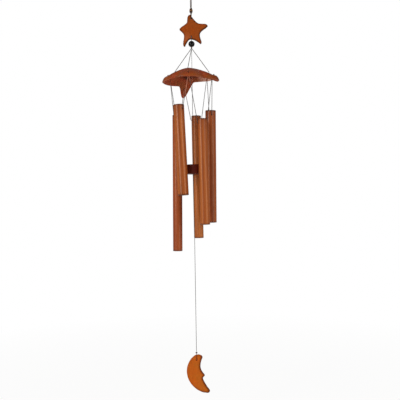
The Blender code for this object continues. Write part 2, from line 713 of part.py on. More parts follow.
pivot("moon_pivot", "sail_pivot", MOON_HOLE_CENTRE)
moon_outline = smooth_curve([Vector(point) * MOON_HEIGHT for point in MOON_RIM], rim_steps, closed=True)
moon = plate("moon_sail", moon_outline, MOON_HOLE_CENTRE, MOON_THICKNESS, MOON_EDGE, moon_wood, "moon_pivot")
cut(moon, drill(MOON_HOLE, 2 * MOON_THICKNESS, MOON_HOLE_CENTRE, Vector((0.0, 1.0, 0.0))), "moon_hole")
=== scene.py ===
import bpy
import bmesh
from math import atan, atan2, cos, hypot, pi, radians, sin
from mathutils import Matrix, Vector
from mathutils.kdtree import KDTree


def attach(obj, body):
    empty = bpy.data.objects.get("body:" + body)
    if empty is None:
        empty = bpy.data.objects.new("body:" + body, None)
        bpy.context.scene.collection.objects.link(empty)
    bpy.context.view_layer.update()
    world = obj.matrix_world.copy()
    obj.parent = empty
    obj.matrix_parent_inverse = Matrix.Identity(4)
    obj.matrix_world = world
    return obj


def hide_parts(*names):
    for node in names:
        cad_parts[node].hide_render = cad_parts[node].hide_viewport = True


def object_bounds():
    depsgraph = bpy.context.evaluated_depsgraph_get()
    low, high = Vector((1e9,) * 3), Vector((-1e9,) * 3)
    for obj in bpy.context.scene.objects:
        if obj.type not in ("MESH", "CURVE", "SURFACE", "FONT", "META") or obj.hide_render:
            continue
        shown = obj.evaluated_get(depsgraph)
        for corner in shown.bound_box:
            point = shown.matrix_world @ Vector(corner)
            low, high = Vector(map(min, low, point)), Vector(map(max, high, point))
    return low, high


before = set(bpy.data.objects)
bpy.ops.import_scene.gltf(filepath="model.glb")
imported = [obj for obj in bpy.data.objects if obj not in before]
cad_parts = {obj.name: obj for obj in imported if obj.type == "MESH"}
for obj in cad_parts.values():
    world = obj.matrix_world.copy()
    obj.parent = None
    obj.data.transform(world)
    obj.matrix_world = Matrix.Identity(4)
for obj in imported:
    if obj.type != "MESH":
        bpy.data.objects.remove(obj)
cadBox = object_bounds()
print("chime: frame loaded,", len(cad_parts), "nodes")

scene = bpy.context.scene
scene.view_settings.view_transform = "Standard"


# small helpers

def only(piece):
    bpy.ops.object.select_all(action="DESELECT")
    piece.select_set(True)
    bpy.context.view_layer.objects.active = piece


def added(name):
    piece = bpy.context.object
    piece.name = name
    piece.data.name = name
    only(piece)
    return piece


def applyAll(piece):
    only(piece)
    for mod in list(piece.modifiers):
        bpy.ops.object.modifier_apply(modifier=mod.name)


def settle(piece):  # the place goes into the mesh
    only(piece)
    bpy.ops.object.transform_apply(location=True, rotation=True, scale=True)


def cleanUp(piece, merge=0.00002):
    only(piece)
    bpy.ops.object.mode_set(mode="EDIT")
    bpy.ops.mesh.select_all(action="SELECT")
    bpy.ops.mesh.remove_doubles(threshold=merge)
    bpy.ops.mesh.normals_make_consistent(inside=False)
    bpy.ops.object.mode_set(mode="OBJECT")


def softEdges(piece, angle=35):
    only(piece)
    bpy.ops.object.shade_smooth_by_angle(angle=radians(angle))


def roundOff(piece, name, width, segments, angle):
    mod = piece.modifiers.new(name, "BEVEL")
    mod.width = width
    mod.segments = segments
    mod.limit_method = "ANGLE"
    mod.angle_limit = radians(angle)


def joined(parts):  # all into the first
    bpy.ops.object.select_all(action="DESELECT")
    for part in parts:
        part.select_set(True)
    bpy.context.view_layer.objects.active = parts[0]
    bpy.ops.object.join()
    return parts[0]


def drillHole(piece, across, place, way, depth):
    bpy.ops.mesh.primitive_cylinder_add(vertices=24, radius=across / 2, depth=depth)
    bit = added("drillBit")
    bit.matrix_world = Matrix.Translation(place) @ Vector(way).to_track_quat("Z", "Y").to_matrix().to_4x4()
    settle(bit)
    only(piece)
    mod = piece.modifiers.new("drill", "BOOLEAN")
    mod.object = bit
    mod.solver = "EXACT"
    bpy.ops.object.modifier_apply(modifier=mod.name)
    bpy.data.objects.remove(bit)


def noteVector(piece, name, value):  # a pattern's own coordinates, kept on the mesh
    note = piece.data.attributes.new(name, "FLOAT_VECTOR", "POINT")
    for vert in piece.data.vertices:
        note.data[vert.index].vector = value(vert.co)


def dress(piece, look, body, slot, *nodes):
    piece.data.materials.clear()
    piece.data.materials.append(look)
    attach(piece, body)
    if nodes:
        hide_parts(*nodes)


def smoothRoute(points, gap):
    points = [Vector(p) for p in points]
    if len(points) == 2:
        count = max(2, round((points[1] - points[0]).length / gap))
        return [points[0].lerp(points[1], k / count) for k in range(count + 1)]
    ends = [2 * points[0] - points[1], *points, 2 * points[-1] - points[-2]]
    route = []
    for k in range(len(points) - 1):
        a, b, c, d = ends[k:k + 4]
        t1 = (b - a).length ** 0.5
        t2 = t1 + (c - b).length ** 0.5
        t3 = t2 + (d - c).length ** 0.5
        count = max(2, round((c - b).length / gap))
        for step in range(count):
            t = t1 + (t2 - t1) * step / count
            ab = a.lerp(b, t / t1)
            bc = b.lerp(c, (t - t1) / (t2 - t1))
            cd = c.lerp(d, (t - t2) / (t3 - t2))
            abc = ab.lerp(bc, t / t2)
            bcd = bc.lerp(cd, (t - t1) / (t3 - t1))
            route.append(abc.lerp(bcd, (t - t1) / (t2 - t1)))
    return [*route, points[-1]]


def doubled(strand):  # out along one side, back along the other
    return strand + [(-x, -y, z) for x, y, z in reversed(strand[:-1])]


def held(value):
    return min(max(value, 0), 1)


# camera, at the photograph's angle

viewing = {"away": 1.2, "perPixel": 0.00208, "pixels": 400, "axisAt": 194.04, "level": -0.44096,
           "lean": 0.0162, "sensor": 36}

bpy.ops.object.camera_add()
camera = bpy.context.object
camera.name = "viewCamera"
aside = (viewing["pixels"] / 2 - viewing["axisAt"]) * viewing["perPixel"]
camera.matrix_world = (Matrix.Translation((aside, -viewing["away"], viewing["level"]))
                       @ Matrix.Rotation(pi / 2, 4, "X") @ Matrix.Rotation(-atan(viewing["lean"]), 4, "Z"))
camera.data.sensor_width = viewing["sensor"]
camera.data.lens = viewing["sensor"] * viewing["away"] / (viewing["pixels"] * viewing["perPixel"])
camera.data.clip_start = 0.01
scene.camera = camera
print("chime: camera set")


# shader groups

def socketed(group, name, kind, into=True, value=None):
    way = "INPUT" if into else "OUTPUT"
    made = group.interface.new_socket(name, in_out=way, socket_type="NodeSocket" + kind)
    if value is not None:
        made.default_value = value


class Wiring:  # short calls for adding and linking nodes
    def __init__(self, tree):
        self.tree = tree

    def feed(self, made, links):  # a socket is linked, a value is set
        for key, source in links.items():
            if isinstance(source, bpy.types.NodeSocket):
                self.tree.links.new(source, made.inputs[key])
            else:
                made.inputs[key].default_value = source

    def node(self, kind, links=None, **values):
        made = self.tree.nodes.new("ShaderNode" + kind)
        for key, value in values.items():
            setattr(made, key, value)
        self.feed(made, links or {})
        return made

    def math(self, how, a, b=0.5, c=0.5, clamp=False):
        return self.node("Math", {0: a, 1: b, 2: c}, operation=how, use_clamp=clamp).outputs[0]

    def mix(self, share, a, b):
        return self.node("MixRGB", {"Fac": share, "Color1": a, "Color2": b}).outputs["Color"]

    def spread(self, value, low, high, toLow=0.0, toHigh=1.0):
        made = self.node("MapRange", {"Value": value, "From Min": low, "From Max": high,
                                      "To Min": toLow, "To Max": toHigh}, clamp=True)
        return made.outputs["Result"]

    def parts(self, vector):
        return self.node("SeparateXYZ", {0: vector}).outputs

    def noted(self, name):
        return self.node("Attribute", attribute_name=name).outputs["Vector"]

    def noise(self, place, scale, detail, rough=0.5):
        return self.node("TexNoise", {"Vector": place, "Scale": scale, "Detail": detail,
                                      "Roughness": rough}).outputs["Fac"]

    def vector(self, how, a, b):
        return self.node("VectorMath", {0: a, 1: b}, operation=how).outputs[0]


def fibreGroup():  # long streaks, fine pores and broad patches along one direction
    group = bpy.data.node_groups.new("fibreStreaks", "ShaderNodeTree")
    socketed(group, "Place", "Vector")
    for name, value in (("Across", 600.0), ("Along", 12.0), ("Shift", 0.0)):
        socketed(group, name, "Float", value=value)
    for name in ("Streak", "Pore", "Patch", "Height"):
        socketed(group, name, "Float", into=False)
    wires = Wiring(group)
    given = group.nodes.new("NodeGroupInput").outputs
    scale = wires.node("CombineXYZ", {0: given["Across"], 1: given["Across"], 2: given["Along"]}).outputs[0]
    shift = wires.node("CombineXYZ", {0: given["Shift"], 1: given["Shift"], 2: given["Shift"]}).outputs[0]
    place = wires.vector("ADD", wires.vector("MULTIPLY", given["Place"], scale), shift)
    streak = wires.spread(wires.noise(place, 1.0, 4.0, 0.55), 0.3, 0.7)
    fine = wires.vector("MULTIPLY", place, (4.0, 4.0, 3.0))
    pore = wires.spread(wires.noise(fine, 1.0, 2.0, 0.6), 0.56, 0.74)
    patch = wires.noise(wires.vector("ADD", given["Place"], shift), 45.0, 2.0)
    wires.feed(group.nodes.new("NodeGroupOutput"), {
        "Streak": streak, "Pore": pore, "Patch": wires.spread(patch, 0.3, 0.7),
        "Height": wires.math("MULTIPLY_ADD", streak, 0.5, wires.math("MULTIPLY", pore, -0.7))})
    return group


def varnishGroup():  # small dust nibs and rubbed places in a clear coat
    group = bpy.data.node_groups.new("varnishWear", "ShaderNodeTree")
    socketed(group, "Place", "Vector")
    for name, value in (("Smooth", 0.28), ("Rubbed", 0.46)):
        socketed(group, name, "Float", value=value)
    for name in ("Roughness", "Nibs"):
        socketed(group, name, "Float", into=False)
    wires = Wiring(group)
    given = group.nodes.new("NodeGroupInput").outputs
    cloud = wires.noise(given["Place"], 110.0, 3.0)
    nib = wires.noise(given["Place"], 900.0, 1.0)
    wires.feed(group.nodes.new("NodeGroupOutput"), {
        "Roughness": wires.spread(cloud, 0.35, 0.7, given["Smooth"], given["Rubbed"]),
        "Nibs": wires.spread(nib, 0.62, 0.8)})
    return group


fibres = fibreGroup()
varnish = varnishGroup()


def srgb(*levels):  # a colour as read from a screen, 0 to 255
    out = []
    for level in levels:
        part = level / 255
        out.append(part / 12.92 if part <= 0.04045 else ((part + 0.055) / 1.055) ** 2.4)
    return (*out, 1.0)


def newLook(name):
    look = bpy.data.materials.new(name)
    look.use_nodes = True
    return look, Wiring(look.node_tree), look.node_tree.nodes["Principled BSDF"]


def fibred(wires, place, across, along, shift):
    links = {"Place": place, "Across": across, "Along": along, "Shift": shift}
    return wires.node("Group", links, node_tree=fibres).outputs


def varnished(wires, place, smooth, rubbed):
    links = {"Place": place, "Smooth": smooth, "Rubbed": rubbed}
    return wires.node("Group", links, node_tree=varnish).outputs


def bumped(wires, height, strength, distance):
    links = {"Height": height, "Strength": strength, "Distance": distance}
    return wires.node("Bump", links).outputs["Normal"]


def spotted(wires, colour, coords, spots):  # rubbed or smudged places: middle, reach, strength, tint
    for middle, reach, strength, tint in spots:
        gone = wires.node("VectorMath", {0: coords, 1: middle}, operation="DISTANCE").outputs["Value"]
        colour = wires.mix(wires.spread(gone, 0.2 * reach, reach, strength, 0.0), colour, tint)
    return colour


# cord looks and cords

def cordLook(name, settings):
    look, wires, shader = newLook(name)
    place = wires.parts(wires.noted("cordPlace"))  # out on the lay, way from the first end, from the last
    coords = wires.node("TexCoord").outputs["Object"]
    fuzz = wires.noise(coords, settings["fuzz"], 3.0)
    # painted shade: the grooves between the plies are darker than the plies
    colour = wires.mix(wires.spread(place["X"], 0.0, 1.0), settings["groove"], settings["ply"])
    colour = wires.mix(wires.spread(fuzz, 0.35, 0.7, 0.0, 0.55), colour, settings["fleck"])
    for end, reach, tint in settings.get("shellLight", ()):  # painted light: the shell's reflected light tints the string towards an end
        colour = wires.mix(wires.spread(place[end], 0.7 * reach, reach, 0.85, 0.0), colour, tint)
    if "band" in settings:  # painted highlight: pale round the middle
        level, half, paleHighlight = settings["band"]
        offset = wires.math("ABSOLUTE", wires.math("SUBTRACT", wires.parts(coords)["Z"], level))
        colour = wires.mix(wires.spread(offset, 0.2 * half, half, 0.85, 0.0), colour, paleHighlight)
    rough = wires.spread(fuzz, 0.3, 0.7, settings["rough"] - 0.1, settings["rough"] + 0.1)
    wires.feed(shader, {"Base Color": colour, "Roughness": rough, "Normal": bumped(wires, fuzz, 0.4, 0.0001),
                        "Specular IOR Level": 0.2, "Sheen Weight": settings["sheen"], "Sheen Roughness": 0.5})
    return look


def threadOf(groove, ply, fleck, fuzz=1800.0, rough=0.65, sheen=0.05, **more):
    return {"groove": srgb(*groove), "ply": srgb(*ply), "fleck": srgb(*fleck),
            "fuzz": fuzz, "rough": rough, "sheen": sheen, **more}


brownThread = threadOf((30, 18, 9), (88, 58, 30), (56, 35, 18), fuzz=1400.0, rough=0.8, sheen=0.08)
greyThread = threadOf((38, 34, 31), (98, 90, 83), (68, 62, 57))
brownCord = cordLook("brownCord", brownThread)
greyCord = cordLook("greyCord", greyThread)
redKnotCord = cordLook("redKnotCord", threadOf((40, 14, 8), (104, 42, 24), (74, 28, 15)))
amberCord = cordLook("amberCord", threadOf((92, 34, 10), (138, 60, 20), (112, 46, 14)))


def twistedMesh(name, route, thick, plies, turnEvery, closed=False):
    sides = 4 * plies
    count = len(route)
    tangents = []
    for k in range(count):
        before = route[k - 1] if k or closed else route[0]
        after = route[(k + 1) % count] if k < count - 1 or closed else route[-1]
        tangents.append((after - before).normalized())
    side = tangents[0].orthogonal().normalized()
    verts, notes = [], []
    run = 0.0
    for k, point in enumerate(route):
        if k:
            run += (point - route[k - 1]).length
        side = (side - tangents[k] * side.dot(tangents[k])).normalized()
        other = tangents[k].cross(side)
        turn = 2 * pi * run / turnEvery
        for step in range(sides):
            angle = 2 * pi * step / sides
            lobe = 0.5 + 0.5 * cos(plies * angle)
            reach = thick / 2 * (0.84 + 0.16 * lobe)
            verts.append(point + (side * cos(angle + turn) + other * sin(angle + turn)) * reach)
            notes.append((lobe, run))
    faces = []
    for k in range(count if closed else count - 1):
        here = k * sides
        there = (k + 1) % count * sides
        for step in range(sides):
            after = (step + 1) % sides
            faces.append((here + step, here + after, there + after, there + step))
    if not closed:
        faces.append(tuple(reversed(range(sides))))
        faces.append(tuple(range((count - 1) * sides, count * sides)))
    mesh = bpy.data.meshes.new(name)
    mesh.from_pydata(verts, [], faces)
    piece = bpy.data.objects.new(name, mesh)
    scene.collection.objects.link(piece)
    note = mesh.attributes.new("cordPlace", "FLOAT_VECTOR", "POINT")
    for vert in mesh.vertices:  # how far out on the lay, and the way from either end
        lobe, done = notes[vert.index]
        note.data[vert.index].vector = (lobe, done, run - done)
    softEdges(piece, 60)
    return piece


twist = {"plies": 3, "turn": 5.5, "gap": 0.0008, "shortest": 0.03}  # a turn in thicknesses


def layCord(node, body, route, thick, look, slot):
    line = smoothRoute(route, max(twist["gap"], thick))
    piece = twistedMesh(node + "_cord", line, thick, twist["plies"], twist["turn"] * thick)
    dress(piece, look, body, slot, node)


hangerCord = {
    "thick": 0.0018,
    "side": [(0.00086, 0, -0.0413), (0.0009, 0, -0.0312), (0.0013, 0, -0.0208), (0.0033, 0, -0.00899),
             (0.0044, 0, -0.00449), (0.0032, 0, -0.00092), (0, 0, 0.0005)],
    "starSling": [(0.0007, -0.0009, -0.0522), (0.0007, -0.0021, -0.0540), (0.0006, -0.0033, -0.0563),
                  (0.0002, -0.0033, -0.0615), (0.0, -0.0028, -0.0636), (0.0, -0.0015, -0.0643),
                  (0.0, 0.0, -0.0643)],
}
layCord("hanger_loop", "hanger", doubled(hangerCord["side"]), hangerCord["thick"], brownCord, "brown_cord")
layCord("star_sling", "hanger", doubled(hangerCord["starSling"]), hangerCord["thick"], brownCord,
        "brown_cord")

beadLink = {
    "thick": 0.0012,
    "strand": [(0, -0.0006, -0.1107), (0, -0.0006, -0.10935), (0, -0.00305, -0.10731), (0, -0.00305, -0.1030),
               (0, -0.0026, -0.1011), (0, -0.0014, -0.1005), (0, 0, -0.1005)],
}
layCord("bead_link", "link", doubled(beadLink["strand"]), beadLink["thick"], greyCord, "dark_cord")

suspension = {
    "thick": 0.0015,
    "left": [(-0.00129, -0.00007, -0.12678), (-0.0357, -0.00187, -0.17442)],
    "right": [(0.00119, -0.00043, -0.1268), (0.03552, -0.01293, -0.17854)],
    "rear": [(-0.00046, 0.00108, -0.12686), (-0.0129, 0.03042, -0.17749)],
}
for name in ("left", "right", "rear"):
    layCord("suspension_cord_" + name, "crown", suspension[name], suspension["thick"], greyCord, "dark_cord")

tubeStrings = {
    "thick": 0.0014,
    "front_left": [
        (-0.04576, -0.00302, -0.18699), (-0.03748, -0.01197, -0.24675), (-0.03639, -0.01315, -0.25459),
        (-0.03449, -0.01521, -0.25644), (-0.02133, -0.02942, -0.25535), (-0.01958, -0.03132, -0.2532),
        (-0.01805, -0.03297, -0.24553), (-0.00695, -0.04496, -0.18959)],
    "rear_left": [
        (-0.04587, -0.00175, -0.18699), (-0.03982, 0.00737, -0.26127), (-0.03917, 0.00834, -0.26918),
        (-0.0377, 0.01056, -0.27123), (-0.0283, 0.02472, -0.27156), (-0.02679, 0.027, -0.26961),
        (-0.02576, 0.02855, -0.26183), (-0.01789, 0.04041, -0.202)],
    "rear": [
        (-0.01664, 0.04099, -0.202), (-0.00586, 0.03982, -0.26061), (-0.00441, 0.03966, -0.26847),
        (-0.00171, 0.03937, -0.27046), (0.01579, 0.03747, -0.27033), (0.01846, 0.03718, -0.26831),
        (0.01958, 0.03706, -0.26039), (0.03072, 0.03585, -0.18209)],
    "right": [
        (0.03168, 0.03496, -0.18209), (0.03464, 0.01998, -0.25413), (0.03496, 0.01835, -0.26196),
        (0.03547, 0.01578, -0.26405), (0.03919, -0.00305, -0.26472), (0.03973, -0.00576, -0.26282),
        (0.03991, -0.00669, -0.25487), (0.04143, -0.01434, -0.18939)],
    "front_right": [
        (-0.00572, -0.04513, -0.18959), (0.00859, -0.03605, -0.27622), (0.00989, -0.03523, -0.28407),
        (0.01219, -0.03377, -0.28603), (0.02672, -0.02456, -0.28576), (0.02897, -0.02313, -0.28372),
        (0.02997, -0.0225, -0.27581), (0.0409, -0.01557, -0.18939)],
}
# the pale and the brown tint here are painted reflected light from the shell, on the strings in front of it
paleShellLight, brownShellLight = srgb(205, 130, 104), srgb(170, 88, 58)
shellLightOnThread = {  # painted reflected light from the shell where they pass in front of the canopy: from the first end (Y) or the last (Z), how far, tint
    "front_left": [("Y", 0.018, brownShellLight), ("Z", 0.04, paleShellLight)],
    "rear_left": [("Y", 0.018, brownShellLight), ("Z", 0.024, paleShellLight)],
    "rear": [("Y", 0.024, paleShellLight), ("Z", 0.008, brownShellLight)],
    "right": [("Y", 0.008, brownShellLight)],
    "front_right": [("Y", 0.014, paleShellLight)],
    "middle": [("Y", 0.034, paleShellLight)],
}
shellLitCord = {}
for name, shellLight in shellLightOnThread.items():
    shellLitCord[name] = cordLook("shellLitCord_" + name, {**greyThread, "shellLight": shellLight})
tubeNames = ("front_left", "rear_left", "rear", "right", "front_right")
for name in tubeNames:
    layCord("tube_string_" + name, "string_" + name, tubeStrings[name], tubeStrings["thick"], shellLitCord[name],
            "dark_cord")

middleCord = {"thick": 0.00125, "lineThick": 0.001, "bead": -0.1272, "canopyHole": -0.1683, "gap": 0.00015,
              "clapperFoot": -0.387, "sailTop": -0.3912, "sailFoot": -0.7557}


def dropped(node, body, top, foot, thick, look):  # straight down the middle
    layCord(node, body, [(0, 0, top), (0, 0, foot)], thick, look, "dark_cord")


dropped("clapper_line", "clapper_line", middleCord["bead"], middleCord["canopyHole"] + middleCord["gap"],
        middleCord["lineThick"], greyCord)
dropped("clapper_cord", "clapper", middleCord["canopyHole"] - middleCord["gap"], middleCord["clapperFoot"],
        middleCord["thick"], shellLitCord["middle"])
dropped("sail_cord", "sail_cord", middleCord["sailTop"], middleCord["sailFoot"],
        middleCord["thick"], greyCord)

moonSling = {
    "thick": 0.0011,
    "strand": [(0, -0.0007, -0.7596), (0, -0.00305, -0.7624), (0, -0.00305, -0.7712), (0, -0.0026, -0.7731),
               (0, -0.0014, -0.7738), (0, 0, -0.7738)],
}
layCord("sail_sling", "sail_knot", doubled(moonSling["strand"]), moonSling["thick"], amberCord, "dark_cord")
print("chime: cords laid")


# stage and light

stage = {
    "floorDrop": 0.07, "size": 9.0, "paper": srgb(244, 244, 243), "soft": 0.54, "gloss": 0.08,
    "aim": (0, 0, -0.42),
    # place, size, power
    "lamps": {"keyLamp": ((-1.32, -1.4, 0.3), (0.45, 1.6), 20.5),
              "fillLamp": ((1.5, -1.15, 0.1), (0.35, 1.6), 10.5),
              "backLamp": ((0.5, 1.6, 0.7), (1.2, 0.8), 8)},
}
bpy.ops.mesh.primitive_plane_add(size=stage["size"], location=(0, 0, cadBox[0][2] - stage["floorDrop"]))
floor = added("studioFloor")
settle(floor)
look, wires, shader = newLook("studioPaper")
wires.feed(shader, {"Base Color": stage["paper"], "Roughness": 0.9})
glow = wires.node("Emission", {"Color": (1, 1, 1, 1), "Strength": 1.0})
rays = wires.node("LightPath").outputs
seen = wires.math("MAXIMUM", rays["Is Camera Ray"], rays["Is Transmission Ray"])
coords = wires.node("TexCoord").outputs["Object"]
far = wires.node("VectorMath", {0: coords}, operation="LENGTH").outputs["Value"]
fade = wires.spread(far, 1.0, 1.5, 0.86, 1.0)  # the paper's shade ends before the horizon
share = wires.math("MULTIPLY", seen, fade)
mixed = wires.node("MixShader", {0: share, 1: shader.outputs[0], 2: glow.outputs[0]})
wires.feed(look.node_tree.nodes["Material Output"], {"Surface": mixed.outputs[0]})
floor.data.materials.append(look)

world = bpy.data.worlds.new("studioWorld")
scene.world = world
world.use_nodes = True
wires = Wiring(world.node_tree)
for old in list(world.node_tree.nodes):
    world.node_tree.nodes.remove(old)
rays = wires.node("LightPath").outputs
seen = wires.math("MAXIMUM", rays["Is Camera Ray"], rays["Is Transmission Ray"])
dim = wires.math("MULTIPLY_ADD", rays["Is Glossy Ray"], stage["gloss"] - stage["soft"], stage["soft"])
soft = wires.node("Background", {"Color": (1.0, 0.99, 0.975, 1), "Strength": dim})
white = wires.node("Background", {"Color": (1, 1, 1, 1), "Strength": 1.0})
both = wires.node("MixShader", {0: seen, 1: soft.outputs[0], 2: white.outputs[0]})
wires.node("OutputWorld", {"Surface": both.outputs[0]})

for name, (place, size, power) in stage["lamps"].items():
    bpy.ops.object.light_add(type="AREA", location=place)
    lamp = bpy.context.object
    lamp.name = name
    lamp.rotation_euler = (Vector(stage["aim"]) - Vector(place)).to_track_quat("-Z", "Y").to_euler()
    lamp.data.shape = "RECTANGLE"
    lamp.data.size, lamp.data.size_y = size
    lamp.data.energy = power
    lamp.visible_glossy = name != "backLamp"
print("chime: stage and lamps set")


# bamboo

bamboo = {
    "wall": 0.003, "rim": 0.0006, "crossHole": 0.003, "holeDrop": 0.010, "darkRim": 0.003,
    "rimRings": (0.004, 0.012), "rings": 9,  # the tube's levels, near the ends and between
    "fullest": 1.002, "oval": 0.006, "swells": 0.003, "swellRate": 38,
    "grain": (330.0, 5.0, 0.0), "broad": (160.0, 2.5, 5.0),  # across, along, shift
    "mid": srgb(146, 70, 24), "light": srgb(188, 108, 50), "dark": srgb(96, 36, 9), "end": srgb(58, 22, 8),
    "red": srgb(140, 52, 24), "inside": srgb(150, 104, 62), "sheen": srgb(255, 214, 176),
    "canopyShade": srgb(112, 46, 20),
    "spots": [((0.0122, -0.0354, -0.3167), 0.0016, 0.85, srgb(58, 22, 8))],  # on the front right tube
    # name: middle of the cross holes, way up, way of the holes, across, length, tone (above 0.7 it also adds
    # painted light), swell
    "front_left": [(-0.02791, -0.02231, -0.25589), (-0.03791, 0.04097, 0.99844), (0.6781, -0.73284, 0.05582),
                   0.0224, 0.1852, 0.56, 1.6],
    "rear_left": [(-0.033, 0.01764, -0.27139), (0.01062, 0.016, 0.99982), (0.55286, 0.83306, -0.0192),
                  0.020, 0.286, 0.2, 8.8],
    "rear": [(0.00704, 0.03842, -0.27039), (-0.00694, 0.00075, 0.99998), (0.99412, -0.10803, 0.00698),
             0.0206, 0.2618, 1.0, 6.6],
    "right": [(0.03733, 0.00636, -0.26439), (0.00677, -0.03424, 0.99939), (0.19385, -0.98041, -0.0349),
              0.0222, 0.2342, 0.37, 4.4],
    "front_right": [(0.01946, -0.02916, -0.28589), (-0.01327, -0.00841, 0.99988), (0.84447, 0.53538, 0.01571),
                    0.0202, 0.2152, 0.62, 3.4],
}


def bambooLook():
    look, wires, shader = newLook("bambooVarnished")
    place = wires.noted("tubePlace")
    wear = wires.parts(wires.noted("tubeWear"))  # rim, tone, inside
    grain = fibred(wires, place, *bamboo["grain"])
    broad = fibred(wires, place, *bamboo["broad"])
    colour = wires.mix(wires.spread(broad["Streak"], 0.1, 0.6), bamboo["dark"], bamboo["mid"])
    toned = wires.spread(wear["Y"], 0, 1, 0.3, 0.9)
    light = wires.math("MULTIPLY", wires.spread(grain["Streak"], 0.25, 0.85), toned)
    colour = wires.mix(light, colour, bamboo["light"])
    colour = wires.mix(wires.math("MULTIPLY", grain["Pore"], 0.4), colour, bamboo["dark"])
    colour = wires.mix(wires.spread(wear["Y"], 0.1, 0.5, 0.6, 0.0), colour, bamboo["red"])
    colour = wires.mix(wires.spread(wear["Y"], 0.7, 1.0, 0.0, 0.4), colour, bamboo["light"])  # painted light: the highest tone, on the rear tube in the front tubes' shadow, is lifted toward the light colour
    topShade = wires.spread(wires.parts(place)["Z"], -0.025, 0.01, 0.0, 0.5)  # painted shade under the canopy: darker to the top
    colour = wires.mix(topShade, colour, bamboo["canopyShade"])
    colour = spotted(wires, colour, wires.node("TexCoord").outputs["Object"], bamboo["spots"])
    colour = wires.mix(wear["Z"], colour, bamboo["inside"])
    colour = wires.mix(wires.math("MULTIPLY", wear["X"], 0.9), colour, bamboo["end"])
    wires.feed(shader, {
        "Base Color": colour, "Roughness": varnished(wires, place, 0.34, 0.46)["Roughness"],
        "Normal": bumped(wires, grain["Height"], 0.05, 0.0002), "Specular IOR Level": 0.3,
        "Specular Tint": bamboo["sheen"], "Coat Weight": 0.3, "Coat Roughness": 0.28})
    return look


bambooVarnished = bambooLook()


def makeTube(name):
    middle, up, across, wide, tall, tone, swell = bamboo[name]
    radius = wide / 2
    top = bamboo["holeDrop"]
    foot = top - tall
    near, far = bamboo["rimRings"]
    shaft = [far + (tall - 2 * far) * k / bamboo["rings"] for k in range(1, bamboo["rings"] + 1)]
    levels = [0.0, near, far, *shaft, tall - near, tall]
    bpy.ops.mesh.primitive_circle_add(vertices=48, radius=radius, location=(0, 0, foot))
    tube = added("tube_" + name)
    settle(tube)
    bpy.ops.object.mode_set(mode="EDIT")
    bpy.ops.mesh.select_all(action="SELECT")
    for before, after in zip(levels, levels[1:]):
        bpy.ops.mesh.extrude_edges_move(TRANSFORM_OT_translate={"value": (0, 0, after - before)})
    bpy.ops.object.mode_set(mode="OBJECT")
    for vert in tube.data.vertices:  # grown, not turned: a little oval, with slow swells
        angle = atan2(vert.co.y, vert.co.x)
        grown = bamboo["fullest"] - bamboo["oval"] * (1 + cos(2 * angle + swell))
        grown -= bamboo["swells"] * (1 + sin(vert.co.z * bamboo["swellRate"] + swell * 2))
        vert.co.x *= grown
        vert.co.y *= grown
    cleanUp(tube)
    wall = tube.modifiers.new("wall", "SOLIDIFY")
    wall.thickness = bamboo["wall"]
    wall.offset = -1
    wall.use_even_offset = True
    roundOff(tube, "rim", bamboo["rim"], 3, 50)
    applyAll(tube)
    drillHole(tube, bamboo["crossHole"], (0, 0, 0), (1, 0, 0), wide * 1.5)
    noteVector(tube, "tubePlace", lambda co: (co.x + swell, co.y, co.z))
    inner = radius - bamboo["wall"] * 0.6

    def wear(co):
        edge = min(top - co.z, co.z - foot)
        rimShare = max(0.0, 1 - edge / bamboo["darkRim"])
        return (rimShare, tone, 1.0 if hypot(co.x, co.y) < inner else 0.0)

    noteVector(tube, "tubeWear", wear)
    up, across = Vector(up).normalized(), Vector(across).normalized()
    turn = Matrix((across, up.cross(across), up)).transposed().to_4x4()
    tube.matrix_world = Matrix.Translation(middle) @ turn
    settle(tube)
    softEdges(tube, 40)
    dress(tube, bambooVarnished, "tube_" + name, "bamboo", "bamboo_tube_" + name)
    print("chime: tube", name)


for name in tubeNames:
    makeTube(name)


# canopy shell

canopy = {
    "top": -0.1665, "wall": 0.0036, "edge": 0.0009, "apexHole": 0.005, "reach": 0.0623, "hole": 0.0028,
    "lip": 0.2, "lipTurn": 9.0,  # the share of the fall that comes at the rim, and how late
    # azimuth, reach, drop, how late it turns down, pointedness, string hole radius, in shares of the reach
    "arms": {"left": (183, 1.0, 0.459, 1.6, 0.4, 0.787), "front": (262, 0.894, 0.414, 1.3, 0.7, 0.787),
             "right": (340, 0.939, 0.477, 1.3, 0.35, 0.754),
             "rear_right": (408.6, 0.921, 0.263, 1.8, 1.1, 0.803),
             "rear": (473, 0.913, 0.845, 2.2, 2.2, 0.787)},
    "valleys": [(227, 0.669, 0.352, 2.3), (305.5, 0.684, 0.421, 1.3), (370.5, 0.669, 0.34, 1.8),
                (440, 0.693, 0.31, 2.0), (492, 0.77, 0.475, 2.4)],
    "slings": {"left": 0.565, "right": 0.597, "rear": 0.516},
    "rings": 20, "around": 140, "ringDrop": 0.001, "ringEase": 0.8, "cutEdge": 0.013,
    "fuller": {"left": 0.003, "right": 0.0036}, "fullHalf": 30, "fullFrom": 0.78,  # two blunt tips
    "hollowTo": 0.6, "paleAt": 36, "paleHalf": 24, "paleFrom": 0.42, "tipFrom": 0.78,
    "grain": (130.0, 22.0, 2.0),
    "spots": [((0.053, -0.019, -0.192), 0.036, 0.3, srgb(58, 16, 5))],  # painted shade: darker round the right tip
    "webbed": {"rear": 1.5},  # pointedness on the near side of its azimuth, where an arm isn't even
    "brown": srgb(130, 64, 32), "red": srgb(140, 48, 22), "amber": srgb(150, 74, 16), "dark": srgb(58, 16, 5),
    # hollow is painted shade; pale and the amber of apex and tips are painted highlights
    "inside": srgb(146, 74, 40), "insideRed": srgb(160, 58, 32), "hollowShade": srgb(76, 24, 10),
    "olive": srgb(120, 70, 20), "rose": srgb(160, 84, 62), "paleHighlight": srgb(226, 184, 164),
    "cut": srgb(186, 130, 100), "sheen": srgb(255, 206, 176),
}


def azimuthOf(co):
    return atan2(co.y, co.x) * 180 / pi


def turnFrom(azimuth, start):
    return (azimuth - start + 180) % 360 - 180


